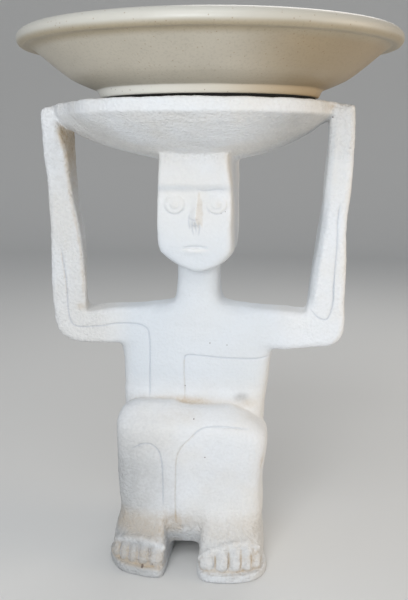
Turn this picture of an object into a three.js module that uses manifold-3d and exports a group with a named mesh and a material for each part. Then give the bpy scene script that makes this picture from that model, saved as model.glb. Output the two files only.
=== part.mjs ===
// Plaster figure that squats with raised arms and carries a shallow dish on its head and hands.
// A stoneware bowl stands on the dish, on a thin dark pad.
// Millimetres, +Z up. The figure faces -Y, and +X is to the right of someone who looks at its face.
// The origin is on the floor, under the middle of the dish.

import * as THREE from 'three';
import { ConvexGeometry } from 'three/addons/geometries/ConvexGeometry.js';
import { mergeVertices } from 'three/addons/utils/BufferGeometryUtils.js';
import Module from 'manifold-3d';

// Driving dimensions

const DISH_TOP = 501;
const DISH_RADIUS = 142;
const DISH_RIM = 13;          // height of the dish's upright rim band
const DISH_EDGE = 1.5;
// The dish's underside from the middle out: radius, height
const DISH_UNDERSIDE = [[0, 433.5], [40, 439.3], [71, 447.8], [94, 455.6], [106, 461.2], [121, 469.3], [133, 478.5]];
const DISH_SET_BACK = 0.54;   // how far back the underside lies for every millimetre below the rim
// Toward each hand the rim is drawn out: direction and half angle in degrees, how much, and above which height
const HAND_PULLS = [{ way: 180, half: 25, stretch: 0.15, above: 430 }, { way: 0, half: 14, stretch: 0.1, above: 478 }];
const PULL_RISE = 10;         // the height over which that comes in
const HAND_SLOPE = 0.18;      // how fast the hands' tops slope down beyond the rim

const PAD_RADIUS = 114;
const PAD_THICKNESS = 3.2;
const SEAT_GAP = 0.3;         // clearance between pieces that rest on each other

const BOWL_RADIUS = 204;
const BOWL_HEIGHT = 68;
const BOWL_FOOT_RADIUS = 117.5;
const BOWL_FOOT_HEIGHT = 8;
const BOWL_FLOOR = 11;        // height of the inside floor above the foot
const BOWL_FLOOR_RADIUS = 78;
const BOWL_OFFSET_X = 11.5;   // the bowl stands a little off the dish's centre

const ARCH_HEIGHT = 17.5;     // gap between the feet
const SOLE_THICKNESS = 8;
const FOOT_HEEL = -20;        // where the feet run into the seat
const GROOVE_RADIUS = 1.1;    // incised lines
const GROOVE_SIDES = 5;
const GROOVE_STEP = 18;
const RING_POINTS = 24;       // points round each section
const PLAN_POINTS = 16;       // points round a foot
const LATHE_SEGMENTS = 40;

// Stations along Z: height, left, right, front, back and squareness of the section.
// Squareness 2 is an ellipse, and a higher number is closer to a rectangle.

const TORSO = [
  [150, -83, 72.5, -31, 46, 5],
  [196, -84.5, 79, -31.5, 43, 5],
  [216, -85.5, 80.5, -32, 41, 4.5],
  [230, -88, 84, -31.5, 38, 4],
  [246, -91, 88, -30.5, 34, 4],
  [260, -90, 86, -29, 31, 3.6],
  [272, -77, 76, -27, 27, 3.4],
  [281, -44, 44, -21, 18, 2.6],
];

const HIPS = [
  [0, -74.5, 69.5, -52, 52, 5],
  [27, -76, 70.5, -55, 57, 5],
  [84, -79, 71.5, -55, 58, 4.6],
  [130, -82, 71.5, -50, 56, 4.5],
  [160, -83, 72, -40, 50, 4.4],
  [182, -83, 73.5, -31, 45, 4.6],
];

// The drawn-up legs, in front of the hips
const LEGS = [
  [0, -74, 70.3, -59, 5, 5],
  [16, -75, 71, -60, 5, 5],
  [27, -76, 72, -67, 5, 5],
  [56, -81.5, 75, -75, 5, 5],
  [84, -85, 74, -76.5, 5, 4.6],
  [115, -86, 77.5, -79, 5, 4.6],
  [142, -86, 80, -80.5, 3, 4.6],
  [150, -86, 77.5, -80, 2, 4.5],
  [158, -86, 70, -78, 0, 4.5],
  [165, -83.5, 61, -72, -2, 4.4],
  [170, -77, 50, -64, -5, 4],
  [173.5, -64, 36, -52, -10, 3.4],
];

const KNEE_LEFT = [
  [148, -83, -6, -70, -20, 3.2],
  [166, -81.5, -10, -66, -24, 3.4],
  [173, -76, -16, -60, -28, 3.4],
  [177, -64, -25, -52, -34, 3],
];

// Plans of the feet and of the slabs under them, x and y, counter-clockwise from above
const LEFT_PLAN = [
  [-92, -20], [-91.5, -60], [-87.5, -76], [-80, -89], [-69, -99], [-53, -105.5], [-39, -109], [-31, -109.5],
  [-28.5, -104], [-28, -70], [-28, -20],
];
const RIGHT_PLAN = [
  [8, -20], [8, -70], [11.5, -102], [17.5, -109.5], [30, -111.5], [43, -110.5], [56, -106.5], [67, -100.5],
  [74.5, -89], [76.5, -72], [76.5, -20],
];
const LEFT_SOLE = [
  [-72, -8], [-90, -36], [-95, -58], [-92, -70], [-85, -86], [-73, -101], [-57, -107.5], [-40, -111.8],
  [-31.5, -111.5], [-28, -106], [-27, -70], [-27, -8],
];
const RIGHT_SOLE = [
  [6, 5], [6, -68], [10.5, -106], [18.5, -114], [38, -116.5], [57, -113], [70, -106], [79.5, -90], [81, -72],
  [77, -52], [66, -20], [50, 0],
];

// Height, then how wide and how long a foot still is there, measured from a fixed x and its heel
const FOOT_LEVELS = [
  [4, 1, 1], [9, 1, 0.985], [20, 0.985, 0.93], [30, 0.96, 0.855], [36, 0.93, 0.82], [42, 0.9, 0.75],
  [52, 0.83, 0.68], [66, 0.77, 0.61],
];
const LEFT_FIXED_X = -42;
const RIGHT_FIXED_X = 14;
// The same for the slabs, measured from their middle
const SOLE_LEVELS = [
  [0, 0.985, 0.985], [1.2, 1, 1], [SOLE_THICKNESS - 1, 1, 1], [SOLE_THICKNESS, 0.985, 0.985],
];

// The gap between the feet, which ends at the seat
const ARCH = { x: [-28.5, 7.5], y: [-140, -8], z: [-5, ARCH_HEIGHT] };

// Toes: middle and radius
const LEFT_TOES = [[-81, 5], [-70.8, 4.9], [-60.6, 5.1], [-49.2, 5.9], [-36, 7.4]];
const RIGHT_TOES = [[20, 8.2], [36, 6.6], [49.5, 6.4], [61.4, 5.6], [71, 4.8]];
const TOE_TIP_Z = 11;
const TOE_PROUD = { top: 1.6, tip: 3.6 };
const TOE_SIDES = 7;
const TOE_RINGS = 2;

// The raised lip above the toes, as (x, z) points
const LEFT_LIP = [[-84, 24], [-80, 27.5], [-71.7, 31.2], [-54, 33.9], [-41, 32.7], [-30.5, 27.5]];
const RIGHT_LIP = [[12.5, 19], [18, 24.1], [23, 27.1], [36, 31.1], [46.5, 33.8], [61.9, 33.9], [71.5, 26]];
const LIP_RADIUS = 4;
const LIP_PROUD = 2.5;
const LIP_STEP = 9;
const LIP_TO_TOES = 8;

const HEAD = [
  [322, -3, 10, -45, -32, 2.6],
  [326, -14.5, 19.5, -47, -18, 3.6],
  [332, -27, 31, -47.8, 6, 4.8],
  [339, -35, 37, -48, 23, 6],
  [351, -40.8, 40.6, -48, 35, 8],
  [368, -41.8, 42, -46.5, 39, 10],
  [388, -41.5, 42.2, -44, 41, 12],
  [407, -40.7, 42, -42.5, 42, 12],
  [416, -39.8, 42.3, -47.5, 42, 12],
  [440, -38.5, 42, -47, 42, 12],
  [456, -38.3, 41.8, -46, 42, 12],
];
const HEAD_NARROW = 3; // how much the head's right side is cut in at the front

const NECK = [
  [264, -60, 58, -27, 28, 2.4],
  [276, -40, 38, -28, 27, 2.6],
  [283, -29.5, 28.5, -27.5, 26, 2.8],
  [291, -25.4, 24.6, -26.5, 25, 3],
  [312, -24, 23.7, -25, 24, 3],
  [345, -24.2, 24.2, -24, 24, 3],
];

// Stations along an arm: the inner edge (x, z), the outer edge (x, z), half the depth,
// and how far to the right the inner edge lies at the front.

const LEFT_ARM = [
  [-52, 277, -52, 240, 16, 0],
  [-98, 276, -98, 236.5, 23, 0],
  [-114, 274.5, -118, 236.3, 23.5, 0],
  [-127, 272.5, -138, 237.5, 23.5, 4],
  [-131, 274, -152.8, 244.3, 23.5, 7],
  [-133, 278, -160.3, 256.5, 23.5, 9],
  [-134, 287, -162.8, 273, 23.5, 10],
  [-134.3, 304, -164.2, 296, 23.5, 9.9],
  [-134, 336, -164.4, 336, 23, 7.7],
  [-137, 371, -164, 371, 22.5, 5.8],
  [-141.6, 412, -166, 412, 22, 2.9],
  [-143, 450, -169.8, 450, 22, -0.8],
  [-142.3, 480, -171.8, 480, 21.5, -12],
  [-144.5, 491, -171.6, 490, 20.5, -13],
  [-149, 498, -167, 495.5, 18, -9],
];

const RIGHT_ARM = [
  [52, 278, 52, 240, 16, 0],
  [96, 276.5, 95, 233, 23, 0],
  [109, 275.3, 111, 234.5, 23.5, 0],
  [117, 275, 131.5, 236.5, 23.5, 0],
  [119.5, 276.5, 148, 239.3, 23.5, 0],
  [120.5, 281, 158, 248.3, 23.5, 0.4],
  [121.5, 290, 161.6, 262, 23.5, 0.8],
  [123.5, 308, 161.6, 292, 23.5, 1.1],
  [128, 342, 161.5, 332, 23, 1.3],
  [132.5, 375, 161.3, 372, 22.5, 1.4],
  [137.2, 430, 165.8, 430, 22, 1.4],
  [139.5, 465, 167, 466, 21.5, 1.4],
  [140.5, 488, 167, 489, 20.5, 1.4],
  [144, 498.5, 166, 496.5, 18, 0.9],
];

const ARM_Y = -4;
const ARM_SQUARENESS = 3.6;

// Incised lines, as (x, z) points seen from the front

const FRONT_LINES = [
  [[-151, 341], [-146.5, 305], [-145, 270], [-141, 258], [-134, 255], [-107, 256.5], [-93, 259], [-64, 258.7],
    [-55.5, 254.5], [-53, 244], [-53, 181]],
  [[-13, 181], [-13, 224], [-11, 226], [34, 224], [70, 223.5], [80, 225.5]],
  [[153.5, 394], [151.5, 380], [151, 346], [148.7, 310], [147, 279], [141.5, 269], [133, 271], [125, 279.5]],
  [[-65, 131], [-54, 137.5], [-44, 138], [-36, 130], [-32.3, 116], [-32, 87], [-32.2, 67]],
  [[59.6, 156.2], [33, 159.1], [12.6, 157.9], [0.8, 148.4], [-10.1, 136.7], [-15.9, 124], [-17.6, 103.5],
    [-18.5, 73.5], [-17.9, 46.8]],
];
const BACK_LINES = [
  [[0, 252], [0, 120]],
  [[-66, 96], [-36, 104], [0, 108], [36, 104], [66, 96]],
];

// The face: raised discs, given by their middle, half sizes and how far they stand out, and a wedge nose
const FACE_DISCS = [
  { x: -21.9, z: 393.4, halfWidth: 10.6, halfHeight: 9.6, proud: 2 },
  { x: 23.2, z: 393.7, halfWidth: 10.8, halfHeight: 9.8, proud: 2 },
  { x: 0.9, z: 345.9, halfWidth: 12.9, halfHeight: 3.3, proud: 1.4 },
];
const NOSE = { top: [1, -43.2, 409], tip: [1.4, -53.5, 377.5], halfTop: 4.6, halfBottom: 9.8, bottom: 365 };
const FACE_PLANE = -42;
const FEATURE_ROOT = 4; // how deep the face's features reach into the head

const wasm = await Module();
wasm.setup();

// Solids

function solidOf(geometry) {
  const bare = geometry.clone();
  bare.deleteAttribute('normal');
  bare.deleteAttribute('uv');
  const merged = mergeVertices(bare, 1e-4);
  return new wasm.Manifold(new wasm.Mesh({
    numProp: 3,
    vertProperties: new Float32Array(merged.attributes.position.array),
    triVerts: new Uint32Array(merged.index.array),
  }));
}

function geometryOf(solid) {
  const mesh = solid.getMesh();
  const geometry = new THREE.BufferGeometry();
  geometry.setAttribute('position', new THREE.BufferAttribute(new Float32Array(mesh.vertProperties), 3));
  geometry.setIndex(new THREE.BufferAttribute(new Uint32Array(mesh.triVerts), 1));
  geometry.computeVertexNormals();
  return geometry;
}

function named(name, geometry, material) {
  const mesh = new THREE.Mesh(geometry, material);
  mesh.name = name;
  return mesh;
}

// Rings of equally many points become one closed skin, with a fan on each end.
function skinOf(rings) {
  const count = rings[0].length;
  const points = rings.flat();
  const triangles = [];
  for (let r = 0; r < rings.length - 1; r++) {
    for (let i = 0; i < count; i++) {
      const a = r * count + i;
      const b = r * count + (i + 1) % count;
      triangles.push(a, b, b + count, a, b + count, a + count);
    }
  }
  for (const [ring, first] of [[rings[0], 0], [rings.at(-1), (rings.length - 1) * count]]) {
    const middle = new THREE.Vector3();
    ring.forEach((p) => middle.addScaledVector(p, 1 / count));
    points.push(middle);
    for (let i = 0; i < count; i++) {
      const a = first + i;
      const b = first + (i + 1) % count;
      triangles.push(...(first === 0 ? [b, a, points.length - 1] : [a, b, points.length - 1]));
    }
  }
  const geometry = new THREE.BufferGeometry().setFromPoints(points);
  geometry.setIndex(triangles);
  return solidOf(geometry);
}

// A point of a unit superellipse, counter-clockwise seen from above
function superPoint(i, squareness) {
  const angle = (2 * Math.PI * (i + 0.5)) / RING_POINTS;
  const power = 2 / squareness;
  const c = Math.cos(angle);
  const s = Math.sin(angle);
  return [Math.sign(c) * Math.abs(c) ** power, Math.sign(s) * Math.abs(s) ** power];
}

const ringIndices = [...Array(RING_POINTS).keys()];

// A skin through level stations. narrow is how much the right side is cut in at the front.
function standing(stations, narrow = 0) {
  return skinOf(stations.map(([z, left, right, front, back, squareness]) => ringIndices.map((i) => {
    const [u, v] = superPoint(i, squareness);
    const edge = right - (narrow * (1 - v)) / 2;
    return new THREE.Vector3((left + edge) / 2 + (u * (edge - left)) / 2, (front + back) / 2 + (v * (back - front)) / 2, z);
  })));
}

// A skin through copies of a plan, each drawn in towards a fixed x and y
function stacked(plan, levels, fixedX, fixedY) {
  const curve = new THREE.CatmullRomCurve3(plan.map(([x, y]) => new THREE.Vector3(x, y, 0)), false, 'centripetal');
  const points = curve.getSpacedPoints(PLAN_POINTS - 1);
  return skinOf(levels.map(([z, wide, long]) => points.map((p) => new THREE.Vector3(
    fixedX + (p.x - fixedX) * wide,
    fixedY + (p.y - fixedY) * long,
    z,
  ))));
}

function sole(plan) {
  const box = new THREE.Box2().setFromPoints(plan.map(([x, y]) => new THREE.Vector2(x, y)));
  const middle = box.getCenter(new THREE.Vector2());
  return stacked(plan, SOLE_LEVELS, middle.x, middle.y);
}

function armSection([innerX, innerZ, outerX, outerZ, halfDepth, shift]) {
  const side = Math.sign(outerX);
  return ringIndices.map((i) => {
    const [u, v] = superPoint(i, ARM_SQUARENESS);
    const inner = innerX + (shift * (1 - v)) / 2;
    const t = (1 + u * side) / 2;
    return new THREE.Vector3(
      inner + (outerX - inner) * t,
      ARM_Y + v * halfDepth,
      innerZ + (outerZ - innerZ) * t,
    );
  });
}

function lathe(profile) {
  const geometry = new THREE.LatheGeometry(profile.map(([r, z]) => new THREE.Vector2(r, z)), LATHE_SEGMENTS);
  geometry.rotateX(Math.PI / 2);
  return geometry;
}

// How much the dish is drawn out at a height, in a direction given in degrees
function stretchAt(angle, z) {
  return HAND_PULLS.reduce((stretch, pull) => {
    const off = Math.abs(THREE.MathUtils.euclideanModulo(angle - pull.way + 180, 360) - 180) / pull.half;
    const rise = THREE.MathUtils.clamp((z - pull.above) / PULL_RISE, 0, 1);
    return off < 1 ? stretch + (rise * pull.stretch * (1 + Math.cos(Math.PI * off))) / 2 : stretch;
  }, 1);
}

function dish() {
  const geometry = lathe([
    ...DISH_UNDERSIDE,
    [DISH_RADIUS, DISH_TOP - DISH_RIM],
    [DISH_RADIUS, DISH_TOP - DISH_EDGE],
    [DISH_RADIUS - DISH_EDGE, DISH_TOP],
    [0, DISH_TOP],
  ]);
  const positions = geometry.attributes.position;
  for (let i = 0; i < positions.count; i++) {
    const p = new THREE.Vector3().fromBufferAttribute(positions, i);
    const stretch = stretchAt(THREE.MathUtils.radToDeg(Math.atan2(p.y, p.x)), p.z);
    const beyond = Math.max(0, Math.hypot(p.x, p.y) * stretch - DISH_RADIUS);
    const setBack = DISH_SET_BACK * Math.max(0, DISH_TOP - DISH_RIM - p.z);
    positions.setXYZ(i, p.x * stretch, p.y * stretch + setBack, Math.min(p.z, DISH_TOP - HAND_SLOPE * beyond));
  }
  return solidOf(geometry);
}

function block({ x, y, z }) {
  const geometry = new THREE.BoxGeometry(x[1] - x[0], y[1] - y[0], z[1] - z[0]);
  geometry.translate((x[0] + x[1]) / 2, (y[0] + y[1]) / 2, (z[0] + z[1]) / 2);
  return solidOf(geometry);
}

function convex(points) {
  return solidOf(new ConvexGeometry(points.map((p) => new THREE.Vector3(...p))));
}

function disc({ x, z, halfWidth, halfHeight, proud }, surface) {
  const sunk = FEATURE_ROOT / 2;
  const geometry = new THREE.SphereGeometry(1, 14, 6);
  geometry.scale(halfWidth, proud + sunk, halfHeight);
  geometry.translate(x, surface(x, z) + sunk, z);
  return solidOf(geometry);
}

function nose() {
  const { top, tip, halfTop, halfBottom, bottom } = NOSE;
  const root = FACE_PLANE + FEATURE_ROOT;
  const pair = (x, half, y, z) => [[x - half, y, z], [x + half, y, z]];
  return convex([
    top, tip, ...pair(top[0], halfTop, FACE_PLANE, top[2]), ...pair(top[0], halfTop, root, top[2]),
    ...pair(tip[0], halfBottom, FACE_PLANE, bottom), ...pair(tip[0], halfBottom, root, bottom),
  ]);
}

// Where a straight look along Y first meets a solid
function surfaceFinder(solid, direction) {
  const outside = 2 * DISH_RADIUS;
  const mesh = new THREE.Mesh(geometryOf(solid), new THREE.MeshBasicMaterial());
  const caster = new THREE.Raycaster();
  return (x, z) => {
    caster.set(new THREE.Vector3(x, -direction * outside, z), new THREE.Vector3(0, direction, 0));
    const [hit] = caster.intersectObject(mesh);
    return hit ? hit.point.y : null;
  };
}

// A thin bar that follows a surface. proud is how far it stands out, so a groove's cutter has its radius.
function strand(points, surface, radius, proud, step) {
  const flat = new THREE.CatmullRomCurve3(points.map(([x, z]) => new THREE.Vector3(x, 0, z)), false, 'centripetal');
  const steps = Math.round(flat.getLength() / step);
  const path = flat.getSpacedPoints(steps).map((p) => new THREE.Vector3(p.x, surface(p.x, p.z) + radius - proud, p.z));
  const curve = new THREE.CatmullRomCurve3(path, false, 'centripetal');
  const section = new THREE.Shape();
  for (let i = 0; i < GROOVE_SIDES; i++) {
    const angle = (2 * Math.PI * i) / GROOVE_SIDES;
    const x = radius * Math.cos(angle);
    const y = radius * Math.sin(angle);
    i === 0 ? section.moveTo(x, y) : section.lineTo(x, y);
  }
  section.closePath();
  const geometry = new THREE.ExtrudeGeometry(section, { steps: path.length - 1, extrudePath: curve });
  return solidOf(geometry);
}

function groove(points, surface) {
  return strand(points, surface, GROOVE_RADIUS, GROOVE_RADIUS, GROOVE_STEP);
}

function lip(points, surface) {
  return strand(points, surface, LIP_RADIUS, LIP_PROUD, LIP_STEP);
}

function heightOn(line, x) {
  const next = Math.max(1, line.findIndex(([lineX]) => lineX >= x));
  const [x0, z0] = line[next - 1];
  const [x1, z1] = line[next];
  return THREE.MathUtils.mapLinear(x, x0, x1, z0, z1);
}

// A rounded rod on the foot's front, from under the lip to just above the sole
function toe([x, radius], lipLine, surface) {
  const high = heightOn(lipLine, x) - LIP_TO_TOES - radius / 3;
  const low = SOLE_THICKNESS - 2 + radius * 0.7;
  const top = new THREE.Vector3(x, surface(x, high) + radius - TOE_PROUD.top, high);
  const tip = new THREE.Vector3(x, surface(x, TOE_TIP_Z) + radius - TOE_PROUD.tip, low);
  const run = new THREE.Vector3().subVectors(top, tip);
  const middle = new THREE.Vector3().addVectors(top, tip).multiplyScalar(0.5);
  const geometry = new THREE.CapsuleGeometry(radius, run.length(), TOE_RINGS, TOE_SIDES);
  geometry.applyQuaternion(new THREE.Quaternion().setFromUnitVectors(new THREE.Vector3(0, 1, 0), run.normalize()));
  geometry.translate(middle.x, middle.y, middle.z);
  return solidOf(geometry);
}

// The figure

function figure() {
  const seat = wasm.Manifold.union([standing(HIPS), standing(LEGS)]).subtract(block(ARCH));
  let body = wasm.Manifold.union([
    seat, standing(TORSO), standing(KNEE_LEFT), standing(HEAD, HEAD_NARROW), standing(NECK), dish(),
    stacked(LEFT_PLAN, FOOT_LEVELS, LEFT_FIXED_X, FOOT_HEEL), sole(LEFT_SOLE),
    stacked(RIGHT_PLAN, FOOT_LEVELS, RIGHT_FIXED_X, FOOT_HEEL), sole(RIGHT_SOLE),
    skinOf(LEFT_ARM.map(armSection)), skinOf(RIGHT_ARM.map(armSection)),
  ]);
  const front = surfaceFinder(body, 1);
  const back = surfaceFinder(body, -1);
  const cuts = [
    ...FRONT_LINES.map((line) => groove(line, front)),
    ...BACK_LINES.map((line) => groove(line, back)),
  ];
  body = body.subtract(wasm.Manifold.union(cuts));
  const features = [
    nose(), ...FACE_DISCS.map((shape) => disc(shape, front)),
    lip(LEFT_LIP, front), ...LEFT_TOES.map((one) => toe(one, LEFT_LIP, front)),
    lip(RIGHT_LIP, front), ...RIGHT_TOES.map((one) => toe(one, RIGHT_LIP, front)),
  ];
  return body.add(wasm.Manifold.union(features));
}

// The grooves leave crumbs that hang on by hairs thinner than 32-bit numbers can hold.
// Merged at that precision they come loose, and only the largest body is kept.
function withoutCrumbs(solid) {
  const bodies = solidOf(geometryOf(solid)).decompose();
  return bodies.reduce((a, b) => (a.volume() > b.volume() ? a : b));
}

// The bowl and its pad

// Outside from the foot up, over the rolled rim, and down the inside, about 8 mm of wall apart
function bowl(bottom) {
  const foot = BOWL_FOOT_RADIUS;
  const rim = BOWL_RADIUS;
  const outside = [
    [0, 4], [foot - 6, 4], [foot - 5, 0], [foot - 1, 0], [foot + 2.5, BOWL_FOOT_HEIGHT - 1],
    [foot + 5, BOWL_FOOT_HEIGHT], [foot + 31, 19.5], [foot + 49, 33], [foot + 63.5, 45],
  ];
  const roll = [
    [rim - 13, 52.5], [rim - 4, 51], [rim, 55.5], [rim - 1, 62], [rim - 5.5, 66.5], [rim - 11, BOWL_HEIGHT],
    [rim - 18, 64],
  ];
  const inside = [
    [foot + 60, 53], [foot + 43, 40.5], [foot + 24, 28], [foot - 6, 15.5], [BOWL_FLOOR_RADIUS, BOWL_FLOOR],
    [0, BOWL_FLOOR],
  ];
  return lathe([...outside, ...roll, ...inside].map(([r, z]) => [r, bottom + z]));
}

const plaster = new THREE.MeshStandardMaterial({ color: 0xe9ebec, roughness: 0.85, metalness: 0 });
const stoneware = new THREE.MeshStandardMaterial({ color: 0xc4bba6, roughness: 0.5, metalness: 0 });
const darkPad = new THREE.MeshStandardMaterial({ color: 0x171412, roughness: 0.9, metalness: 0 });

const padBottom = DISH_TOP + SEAT_GAP;
const bowlBottom = padBottom + PAD_THICKNESS + SEAT_GAP;
const pad = new THREE.CylinderGeometry(PAD_RADIUS, PAD_RADIUS, PAD_THICKNESS, LATHE_SEGMENTS);
pad.rotateX(Math.PI / 2);
pad.translate(0, 0, padBottom + PAD_THICKNESS / 2);

const bowlGroup = new THREE.Group();
bowlGroup.position.x = BOWL_OFFSET_X;
bowlGroup.add(named('bowl_pad', pad, darkPad), named('bowl', bowl(bowlBottom), stoneware));

const bearer = new THREE.Group();
bearer.add(named('figure', geometryOf(withoutCrumbs(figure())), plaster), bowlGroup);

export default bearer;
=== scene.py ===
# %% [markdown]
# # A plaster figure that carries a bowl
# A white plaster figure, about half a metre tall, squats with its knees drawn up, raises both arms
# and carries a round dish on its head. A wide stoneware bowl stands on the dish. Three pieces are
# dressed here: the casting, the dark pad on its dish, and the bowl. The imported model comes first. It
# is the frame that every piece has to fit, in metres, with the figure facing -Y and its soles at Z = 0.

# %% Load the frame
import math

import bpy
import bmesh
import numpy as np
import openvdb
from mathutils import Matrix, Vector


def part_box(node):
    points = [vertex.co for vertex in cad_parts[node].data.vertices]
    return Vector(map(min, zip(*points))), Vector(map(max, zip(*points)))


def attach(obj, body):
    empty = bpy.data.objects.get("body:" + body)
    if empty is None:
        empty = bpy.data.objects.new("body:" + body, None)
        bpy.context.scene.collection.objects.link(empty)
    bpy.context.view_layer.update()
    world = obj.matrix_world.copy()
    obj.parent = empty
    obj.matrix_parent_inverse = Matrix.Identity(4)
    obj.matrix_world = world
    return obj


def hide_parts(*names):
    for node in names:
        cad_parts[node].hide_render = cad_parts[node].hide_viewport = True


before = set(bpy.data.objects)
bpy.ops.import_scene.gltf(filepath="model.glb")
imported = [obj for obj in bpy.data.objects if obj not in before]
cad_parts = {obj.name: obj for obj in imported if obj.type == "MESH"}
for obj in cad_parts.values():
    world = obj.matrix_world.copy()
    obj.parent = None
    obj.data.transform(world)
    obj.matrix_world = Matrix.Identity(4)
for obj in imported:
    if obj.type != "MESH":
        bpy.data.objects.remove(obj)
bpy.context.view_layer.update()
MM = 0.001
print("nodes:", sorted(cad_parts))


# %% [markdown]
# ## Camera
# The picture is taken from about a metre away, level with the top of the figure's head and a little
# to the right, with a normal lens. So the rim of the dish is nearly edge-on, the bowl is seen a
# little from below and the feet from above.

# %% Camera
CAMERA_PLACE = (0.1074, -0.9425, 0.4553)
CAMERA_HEADING = 6.2        # degrees to the left of straight ahead
CAMERA_DIP = 10.3           # degrees below the horizon
LENS = 51.0


def link(obj):
    bpy.context.collection.objects.link(obj)
    return obj


camera = link(bpy.data.objects.new("camera", bpy.data.cameras.new("camera")))
camera.data.sensor_width = 36.0
camera.data.lens = LENS
camera.location = CAMERA_PLACE
camera.rotation_mode = "XYZ"
camera.rotation_euler = (math.radians(90 - CAMERA_DIP), 0, math.radians(CAMERA_HEADING))
bpy.context.scene.camera = camera
print("camera stands", round(Vector(CAMERA_PLACE).length, 3), "m from the origin")


# %% [markdown]
# ## Studio
# White plaster shows its form in soft light that differs a little in strength and colour. A window
# light, a low fill and a high skylight stand in front, all cool. A warm fill colours the sides that
# turn to the right, and a back light lifts the tops of the arms. The floor curves up behind the
# object, so no horizon cuts the picture.

# %% Studio
FLOOR_COLOUR = (0.66, 0.66, 0.65)
FLOOR_FRONT, FLOOR_BACK, FLOOR_HALF, WALL_HEIGHT, CORNER = -4.0, 3.4, 5.0, 4.0, 0.8
CORNER_STEPS = 12
# name, place, height on the object that it aims at, size, watts, colour
LIGHTS = [
    ("window light", (-0.13, -1.1, 0.58), 0.4, (0.4, 0.4), 4.9, (0.96, 0.98, 1.0)),
    ("low front fill", (0.3, -2.2, 0.2), 0.4, (1.0, 0.7), 3.9, (0.94, 0.97, 1.0)),
    ("skylight", (-0.1, -1.35, 1.75), 0.3, (1.0, 1.0), 8.6, (0.97, 0.98, 1.0)),
    ("back light", (0.2, 1.3, 1.45), 0.3, (0.8, 0.8), 7, (1.0, 0.98, 0.95)),
    ("warm fill", (1.9, -0.1, 0.5), 0.35, (1.0, 1.0), 10.5, (1.0, 0.78, 0.52))]
ROOM_COLOUR, ROOM_STRENGTH = (0.93, 0.96, 1.0), 0.45


def plain_material(name, colour, roughness):
    material = bpy.data.materials.new(name)
    material.use_nodes = True
    shader = material.node_tree.nodes["Principled BSDF"]
    shader.inputs["Base Color"].default_value = (*colour, 1)
    shader.inputs["Roughness"].default_value = roughness
    return material


def backdrop():
    turns = np.radians(np.linspace(0, 90, CORNER_STEPS + 1))
    corner = zip(FLOOR_BACK - CORNER + CORNER * np.sin(turns), CORNER * (1 - np.cos(turns)))
    side = [(FLOOR_FRONT, 0), *corner, (FLOOR_BACK, WALL_HEIGHT)]
    points = [(x, y, z) for x in (-FLOOR_HALF, FLOOR_HALF) for y, z in side]
    count = len(side)
    faces = [(i, count + i, count + i + 1, i + 1) for i in range(count - 1)]
    mesh = bpy.data.meshes.new("backdrop")
    mesh.from_pydata(points, [], faces)
    mesh.shade_smooth()
    mesh.materials.append(plain_material("backdrop paper", FLOOR_COLOUR, 0.9))
    return bpy.data.objects.new("backdrop", mesh)


def soft_light(name, place, aim, size, watts, colour):
    light = bpy.data.lights.new(name, "AREA")
    light.shape = "RECTANGLE"
    light.size, light.size_y = size
    light.energy, light.color = watts, colour
    lamp = link(bpy.data.objects.new(name, light))
    lamp.location = place
    lamp.rotation_mode = "QUATERNION"
    lamp.rotation_quaternion = (Vector((0, 0, aim)) - lamp.location).to_track_quat("-Z", "Y")


floor = link(backdrop())
for light in LIGHTS:
    soft_light(*light)

world = bpy.data.worlds.new("room")
world.use_nodes = True
room = world.node_tree.nodes["Background"].inputs
room["Color"].default_value = (*ROOM_COLOUR, 1)
room["Strength"].default_value = ROOM_STRENGTH
bpy.context.scene.world = world
bpy.context.scene.view_settings.view_transform = "Standard"


# %% [markdown]
# ## How the casting is shaped
# The real figure is hand-modelled: soft blocks that run into each other, some with a wide fillet and
# some with a sharp crease. Here each form is a *distance*: a number for every point of a grid that
# says how far away the form's skin is. Taking the smaller of two distances joins two forms, and
# doing it softly gives the fillet.

# %% A grid of distances, in millimetres
VOXEL = 1.3
GRID_LOW, GRID_HIGH = (-184, -150, -7), (178, 150, 508)
FAR = 14.0       # the distance that empty space starts with
# how wide the fillet is where a form joins the others
FILLET = {"arm": 9, "dish": 4, "hand top": 2, "gap": 6, "foot": 8, "slab": 1, "toe lip": 2.5,
          "toe": 0.8, "eye": 0.5, "pupil": 0.4, "lip": 2.5, "mouth": 0.3, "nose": 1, "floor": 1.2}

grid_axes = [np.arange(low, high, VOXEL, dtype=np.float32) for low, high in zip(GRID_LOW, GRID_HIGH)]
field = np.full([len(axis) for axis in grid_axes], FAR, np.float32)


def window(low, high):
    """The part of the grid between two corners, and its coordinates."""
    cut = tuple(slice(*np.searchsorted(axis, ends)) for axis, ends in zip(grid_axes, zip(low, high)))
    return cut, np.ix_(*(axis[part] for axis, part in zip(grid_axes, cut)))


def reach_of(points, margin):
    """The corners of a box around points, with a margin."""
    points = np.array(points, float)
    return points.min(axis=0) - margin, points.max(axis=0) + margin


def soft_less(a, b, blend):
    """The smaller of two distances, with a fillet about as wide as blend."""
    h = np.clip(0.5 + 0.5 * (a - b) / blend, 0, 1)
    return a + (b - a) * h - blend * h * (1 - h)


def soft_more(a, b, blend):
    return -soft_less(-a, -b, blend)


def rounded(side, face, radius):
    """Distance to a board, from the distances to its side and its face, with a rounded edge."""
    side, face = side + radius, face + radius
    outside = np.hypot(np.maximum(side, 0), np.maximum(face, 0))
    return outside + np.minimum(np.maximum(side, face), 0) - radius


def add(low, high, distance, blend):
    """Joins a form to all others, in the part of the grid between two corners."""
    cut, places = window(low, high)
    field[cut] = soft_less(field[cut], distance(*places), blend)


def carve(low, high, distance, blend):
    """Takes a form away, in the part of the grid between two corners."""
    cut, places = window(low, high)
    field[cut] = soft_more(field[cut], -distance(*places), blend)


print("grid", field.shape, "cells:", field.size)


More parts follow.
